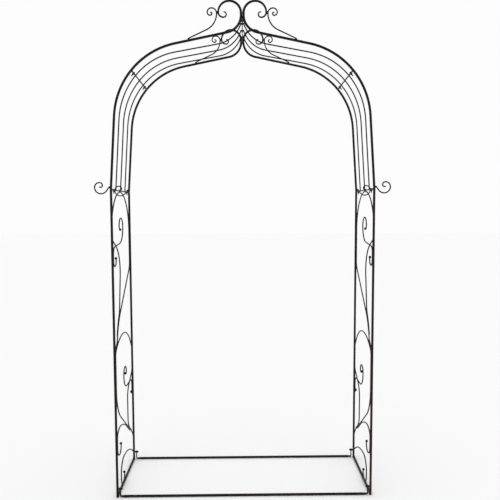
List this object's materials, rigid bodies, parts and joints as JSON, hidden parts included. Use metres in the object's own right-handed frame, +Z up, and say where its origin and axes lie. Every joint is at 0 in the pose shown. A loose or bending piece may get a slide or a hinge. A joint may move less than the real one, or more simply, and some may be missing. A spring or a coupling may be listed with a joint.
{
  "type": "metal trellis arch",
  "caption": "Tall walk-through garden arch of bent round steel bar: scrollwork side panels and a curved trellis top crowned with paired scrolls.",
  "frame": {"origin": "on the ground, midway between the four posts", "axes": "+X to the right across the walkway seen from the front, +Y through the arch away from the front, +Z up"},
  "size_m": [1.4442, 0.446, 2.4401],
  "materials": {
    "heavy_bar": "satin black-brown outdoor enamel over round steel bar, slightly rough",
    "thin_rod": "satin black-brown outdoor enamel over bent steel rod",
    "flat_strip": "satin black-brown outdoor enamel over flat steel strip",
    "fastener": "blackened steel, dull"
  },
  "bodies": {
    "root": {"left_front_post": "heavy_bar", "left_back_post": "heavy_bar", "left_base_bar": "heavy_bar", "left_panel_crossbar": "flat_strip", "left_upper_arch_rod": "thin_rod", "left_upper_curl": "thin_rod", "left_lower_arch_rod": "thin_rod", "left_lower_curl": "thin_rod", "left_front_foot_scroll": "thin_rod", "left_back_foot_scroll": "thin_rod", "left_front_hook": "thin_rod", "left_back_hook": "thin_rod", "left_lower_front_rail": "heavy_bar", "left_lower_back_rail": "heavy_bar", "left_foot_crossbar": "flat_strip", "left_head_crossbar": "flat_strip", "left_lower_front_rod": "thin_rod", "left_lower_middle_rod": "thin_rod", "left_lower_back_rod": "thin_rod", "left_upper_front_rail": "heavy_bar", "left_upper_back_rail": "heavy_bar", "left_joint_crossbar": "flat_strip", "left_apex_crossbar": "flat_strip", "left_upper_front_rod": "thin_rod", "left_upper_middle_rod": "thin_rod", "left_upper_back_rod": "thin_rod", "left_front_s_scroll": "thin_rod", "left_back_s_scroll": "thin_rod", "right_front_post": "heavy_bar", "right_back_post": "heavy_bar", "right_base_bar": "heavy_bar", "right_panel_crossbar": "flat_strip", "right_upper_arch_rod": "thin_rod", "right_upper_curl": "thin_rod", "right_lower_arch_rod": "thin_rod", "right_lower_curl": "thin_rod", "right_front_foot_scroll": "thin_rod", "right_back_foot_scroll": "thin_rod", "right_front_hook": "thin_rod", "right_back_hook": "thin_rod", "right_lower_front_rail": "heavy_bar", "right_lower_back_rail": "heavy_bar", "right_foot_crossbar": "flat_strip", "right_head_crossbar": "flat_strip", "right_lower_front_rod": "thin_rod", "right_lower_middle_rod": "thin_rod", "right_lower_back_rod": "thin_rod", "right_upper_front_rail": "heavy_bar", "right_upper_back_rail": "heavy_bar", "right_joint_crossbar": "flat_strip", "right_apex_crossbar": "flat_strip", "right_upper_front_rod": "thin_rod", "right_upper_middle_rod": "thin_rod", "right_upper_back_rod": "thin_rod", "right_front_s_scroll": "thin_rod", "right_back_s_scroll": "thin_rod", "front_tie_rod": "heavy_bar", "back_tie_rod": "heavy_bar", "section_bolts": "fastener", "hex_nuts": "fastener"}
  },
  "joints": []
}
